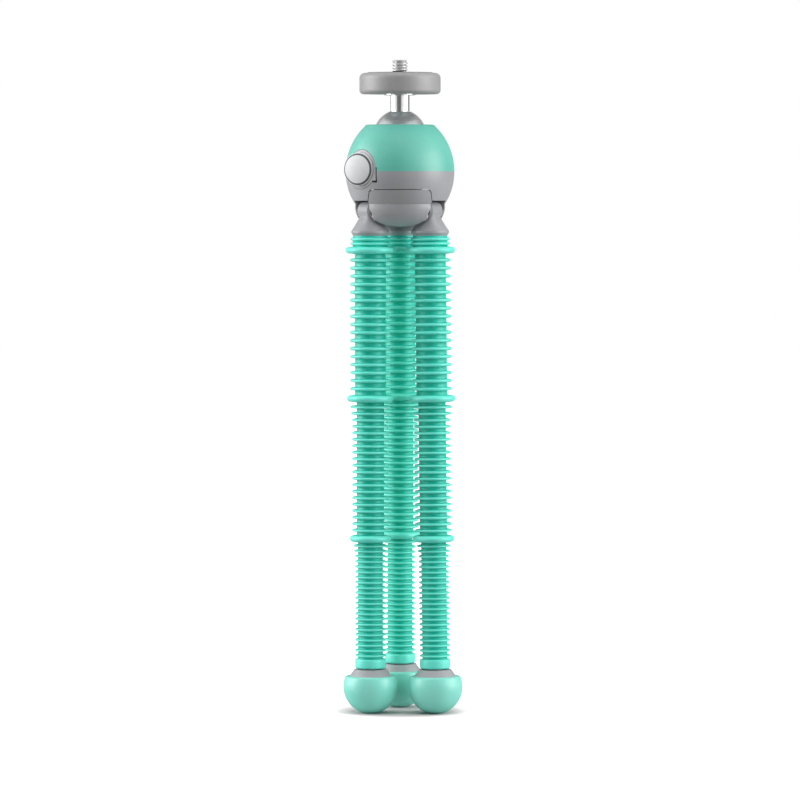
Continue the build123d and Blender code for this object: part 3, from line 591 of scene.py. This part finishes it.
def dress_leg(leg, phase):
    """Six lengths of sleeve, one around each joint of the leg's inner chain."""
    hip = np.array(joints[f"{leg}_hip"]["pos_m"])
    places = [np.array(joints[f"{leg}_{joint}"]["pos_m"]) for joint in joint_order]
    down = (places[-1] - hip) / np.linalg.norm(places[-1] - hip)
    axis = np.array(joints[f"{leg}_hip"]["axis"])
    outward = np.cross(axis, down)
    drops = [float((place - hip) @ down) / mm for place in places]
    cuts = [sleeve_top_drop]
    for i in range(len(ring_drops)):
        cuts.append(groove_near(i, (drops[2 * i] + drops[2 * i + 1]) / 2))
        if i + 1 < len(ring_drops):
            next_ring = ring_drops[i + 1]
            ring_foot = next_ring + ring_thicknesses[i + 1] / 2
            rib_head = next_ring + ring_spaces[i + 1] - rib_width_share * rib_pitches[i + 1] / 2
            cuts.append((ring_foot + rib_head) / 2)
    cuts.append(cuff_bottom_drop)
    outline = sleeve_outline()
    for k, joint in enumerate(joint_order):
        stretch = k // 2
        name = f"{leg}_sleeve_{joint}"
        bore = root_radii[stretch] - sleeve_wall
        piece = sleeve_piece(
            name, outline, cuts[k], cuts[k + 1], bore, hip, outward, down, phase
        )
        if k % 2 == 0:
            bend_start = drops[k] - blend_reach
            bend_end = cuts[k + 1] - seam_sliver
        else:
            bend_start = cuts[k] + seam_sliver
            bend_end = drops[k] + blend_reach
        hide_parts(f"{leg}_sleeve")
        tuple(hip + down * bend_start * mm)
        tuple(hip + down * bend_end * mm)
        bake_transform(piece)


for number, leg in enumerate(leg_names):
    dress_leg(leg, phase=waver_phase_per_leg * number)


# Camera screw with its thread
def threaded_screw():
    """The screw as one closed skin of revolution: a radius for each height and angle. On the
    threaded length the radius swings from root to crest by steepness * |2 w - 1| - flatness, held
    from 0 to 1, where w is what is left of height / pitch - angle / full turn over whole turns.
    It is also held under the cone of the tip."""
    low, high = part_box("camera_screw")
    head_low = low[2] / mm
    tip = high[2] / mm
    thread_low = tip - screw_thread_length
    neck_low = head_low + screw_head_height
    plain = np.array(
        [
            [head_low, screw_head_radius - screw_head_edge],
            [head_low + screw_head_edge, screw_head_radius],
            [neck_low - screw_head_edge, screw_head_radius],
            [neck_low, screw_head_radius - screw_head_edge],
            [neck_low, screw_neck_radius],
            [thread_low, screw_neck_radius],
        ]
    )
    angle = np.linspace(0, 2 * np.pi, screw_columns, endpoint=False)
    heights = np.linspace(thread_low, tip, screw_rows)
    wave = heights[:, None] / screw_pitch - angle[None, :] / (2 * np.pi)
    swing = np.abs(2 * (wave % 1.0) - 1)
    ridge = np.clip(screw_flank_steepness * swing - screw_root_flatness, 0, 1)
    thread = screw_root_radius + (screw_crest_radius - screw_root_radius) * ridge
    cone = screw_crest_radius - screw_tip_edge + (tip - heights)
    thread = np.minimum(thread, cone[:, None])
    radii = np.concatenate([np.repeat(plain[:, 1:], screw_columns, axis=1), thread])
    levels = np.concatenate([plain[:, 0], heights])
    points = np.stack(
        [
            radii * np.cos(angle)[None, :],
            radii * np.sin(angle)[None, :],
            np.repeat(levels[:, None], screw_columns, axis=1),
        ],
        axis=-1,
    )
    poles = np.array([[0.0, 0.0, levels[0]], [0.0, 0.0, levels[-1]]])
    everything = np.concatenate([points.reshape(-1, 3), poles]) * mm
    faces = capped_faces(len(levels), screw_columns, turned_over=True)
    finish = screw_finish("cut_steel", (0.78, 0.78, 0.79))
    return make_piece("camera_screw_thread", everything, faces, finish)


camera_screw = threaded_screw()
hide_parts("camera_screw")
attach(camera_screw, "platform")

# Finishes of the solids. Corners up to a weld's reach apart are joined, and edges sharper than
# the limit are kept sharp. The button's dome has its normals averaged again over its faces.
weld_reach = 0.000001
sharp_edge = radians(28)
button = frame["nodes"]["lock_button"]
press = np.array(joints["button_press"]["axis"])
button_points = solid_points("lock_button")
button_crown = button_points[np.argmin(button_points @ press)]
finishes["button"] = button_finish(
    "frosted_button",
    face_colour=(0.76, 0.78, 0.79),
    rim_shade_colour=(0.10, 0.10, 0.11),
    centre=tuple(button_crown.tolist()),
    turn=(radians(90), -float(np.arctan2(press[0], press[1])), 0.0),
    rim_radius=5.65 * mm,
    rim_width=0.7 * mm,
)
own_finishes = {"lock_button": "button"}
for leg in leg_names:
    own_finishes[f"{leg}_foot_pad"] = "foot_rubber"
record_slots = {row["node"]: row["material_slot"] for row in frame["record"]["subparts"]}
for name, node in frame["nodes"].items():
    finish = finishes[own_finishes.get(name, record_slots[name])]
    for material_slot in node.material_slots:
        material_slot.material = finish
    node.data.polygons.foreach_set("use_smooth", [True] * len(node.data.polygons))
    weld = node.modifiers.new("weld", "WELD")
    weld.merge_threshold = weld_reach
    split = node.modifiers.new("sharp_edges", "EDGE_SPLIT")
    split.split_angle = sharp_edge
weighted = button.modifiers.new("even_crown", "WEIGHTED_NORMAL")
weighted.keep_sharp = True


# Springs inside the head
def head_spring(node, place, along, side, wire, coil_radius, turns):
    """A coil spring as one closed tube of wire, between the ends of the solid it stands for. The
    wire's middle is at axis + along * rise + coil radius * (side * cos a + across * sin a), where
    the rise grows evenly with a, and the tube is a circle about it, square to the wire."""
    rises = solid_points(node) @ along
    axis_foot = place + along * (rises.min() - place @ along)
    length = rises.max() - rises.min()
    climb = length - wire * mm
    angle = np.linspace(0, 2 * np.pi * turns, turns * coil_steps + 1)[:, None]
    across = np.cross(along, side)
    spoke = side * np.cos(angle) + across * np.sin(angle)
    forward = across * np.cos(angle) - side * np.sin(angle)
    rise = wire * mm / 2 + climb * angle / angle[-1]
    middle_line = axis_foot + along * rise + spoke * coil_radius * mm
    slope = climb / (angle[-1] * coil_radius * mm)
    square = (along - forward * slope) / np.sqrt(1 + slope**2)
    turn = np.linspace(0, 2 * np.pi, wire_columns, endpoint=False)[None, :, None]
    circle = spoke[:, None] * np.cos(turn) + square[:, None] * np.sin(turn)
    tube = middle_line[:, None] + circle * wire * mm / 2
    points = np.concatenate([tube.reshape(-1, 3), middle_line[:1], middle_line[-1:]])
    faces = capped_faces(len(angle), wire_columns)
    piece = make_piece(f"{node}_coil", points, faces, finishes[record_slots[node]])
    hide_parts(node)
    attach(piece, "housing")
    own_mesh(piece)


rightward = np.array([1.0, 0.0, 0.0])
upward = np.array([0.0, 0.0, 1.0])
head_spring(
    "brake_spring",
    place=np.zeros(3),
    along=upward,
    side=rightward,
    wire=brake_wire,
    coil_radius=brake_coil_radius,
    turns=brake_coil_turns,
)
head_spring(
    "button_spring",
    place=button_crown,
    along=-press,
    side=upward,
    wire=button_wire,
    coil_radius=button_coil_radius,
    turns=button_coil_turns,
)

# Floor, 8 metres square
half_floor = 4.0
floor_corners = [(-1, -1), (1, -1), (1, 1), (-1, 1)]
floor_mesh = bpy.data.meshes.new("floor")
floor_mesh.from_pydata(
    [(half_floor * x, half_floor * y, 0) for x, y in floor_corners], [], [(0, 1, 2, 3)]
)
floor = bpy.data.objects.new("floor", floor_mesh)
bpy.context.scene.collection.objects.link(floor)

# The front of the studio is turned a little to the left, which is where the object is darkest
studio_turn = radians(-11)


def to_the_front(place):
    """How far a place lies to the studio's front: sin(turn) * x - cos(turn) * y."""
    return sin(studio_turn) * place.part(0) - cos(studio_turn) * place.part(1)


# The floor near the feet is a greyish mauve under their real shadow, painted shade that makes it deeper, and it
# turns white further out. For light that bounces it is a little darker, with a dark cloth in front of the object.
# Spans are in metres, apart from front_span, which is in shares of the way to the front.
black = (0.0, 0.0, 0.0, 1.0)
white = (1.0, 1.0, 1.0, 1.0)
# Painted shade: the floor near the feet is greyish mauve, to deepen their shadow
near_floor_shade_colour = (0.66, 0.59, 0.60, 1.0)
bounce_colour = (0.55, 0.55, 0.55, 1.0)
cloth_colour = (0.25, 0.25, 0.25, 1.0)
white_span = (0.017, 0.038)
cloth_span = (0.03, 0.07)
front_span = (0.2, 0.75)
floor_material, floor_place, set_floor = start_finish("pale_floor")
floor_reach = floor_place.from_axis()
further_out = floor_reach.between(*white_span)
floor_ahead = to_the_front(floor_place) / (floor_reach + mm)
dark_cloth = floor_ahead.between(*front_span) * floor_reach.between(*cloth_span)
seen_directly = floor_place.is_ray("Camera")
set_floor(
    Base_Color=seen_directly.mixed(
        dark_cloth.mixed(bounce_colour, cloth_colour), near_floor_shade_colour
    ),
    Roughness=0.9,
    Specular_IOR_Level=0.0,
    Emission_Color=(seen_directly * further_out).mixed(black, white),
    Emission_Strength=1.0,
)
floor_mesh.materials.append(floor_material)

# The studio is white to the eye. Its soft light is dimmer from the front, unless it comes from
# overhead, and dimmer from the back. A mirror sees a dark strip that runs from the front over the
# top, and the same dimmer back. Spans are in shares of a direction that is 1 long.
strip_side_span = (0.32, 0.6)
strip_end_span = (0.3, 0.7)
back_span = (0.3, 0.65)
overhead_span = (0.7, 0.97)
soft_level = 0.85
front_dimming = 0.58
strip_dimming = 0.85
back_dimming = 0.65
world = bpy.data.worlds.new("studio")
bpy.context.scene.world = world
world.use_nodes = True
tree = world.node_tree
background = tree.nodes["Background"]
direction = Shade(tree, tree.nodes.new("ShaderNodeTexCoord").outputs["Generated"])
straight = direction.is_ray("Camera") + direction.is_ray("Transmission")
mirror_ray = direction.is_ray("Glossy")
ahead = to_the_front(direction)
away = 0 - ahead
beside = direction.maths(
    "ABSOLUTE", cos(studio_turn) * direction.part(0) + sin(studio_turn) * direction.part(1)
)
overhead = direction.part(2).between(*overhead_span)
strip = (1 - beside.between(*strip_side_span)) * (1 - away.between(*strip_end_span))
behind = back_dimming * away.between(*back_span)
mirror_strength = 1 - strip_dimming * strip - behind
soft_strength = soft_level - front_dimming * ahead.between(*front_span) * (1 - overhead) - behind
strength = straight + (1 - straight) * (
    mirror_ray * mirror_strength + (1 - mirror_ray) * soft_strength
)
tree.links.new(strength.socket, background.inputs["Strength"])
background.inputs["Color"].default_value = white


def towards(place, target):
    """The turn that points an object's own -Z from a place to a target, with its Y up."""
    return (Vector(target) - Vector(place)).to_track_quat("-Z", "Y").to_euler()


def soft_box(name, turn, reach, height, size, power, mirrored=True):
    """A square area lamp that faces the object's middle, and that shiny pieces reflect if it is
    mirrored. With a the turn from the studio's front, it is at reach * (sin a, -cos a)."""
    angle = studio_turn + radians(turn)
    place = (reach * sin(angle), -reach * cos(angle), height)
    lamp = bpy.data.lights.new(name, "AREA")
    lamp.size = size
    lamp.energy = power
    holder = bpy.data.objects.new(name, lamp)
    holder.visible_glossy = mirrored
    holder.location = place
    holder.rotation_euler = towards(place, object_middle)
    bpy.context.scene.collection.objects.link(holder)


# Turns in degrees, lengths in metres and powers in watts
object_middle = (0.0, 0.0, 0.13)
soft_box("left_box", turn=-80, reach=1.62, height=0.5, size=1.2, power=24.0)
soft_box("right_box", turn=86, reach=1.62, height=0.5, size=1.2, power=20.0)
soft_box("top_box", turn=0, reach=0.5, height=1.8, size=1.4, power=9.0, mirrored=False)

# Camera: a long lens at the height of the head, aimed a little down
camera_distance = 2.0
camera_height = 0.219
aim_height = 0.1272
frame_width = 0.3256
sensor_width = 36.0
camera_data = bpy.data.cameras.new("camera")
camera = bpy.data.objects.new("camera", camera_data)
bpy.context.scene.collection.objects.link(camera)
camera.location = (0.0, -camera_distance, camera_height)
camera.rotation_euler = towards(camera.location, (0.0, 0.0, aim_height))
camera_data.sensor_width = sensor_width
camera_data.lens = sensor_width * camera_distance / frame_width
camera_data.clip_end = 20.0
bpy.context.scene.camera = camera
bpy.context.scene.view_settings.view_transform = "Standard"
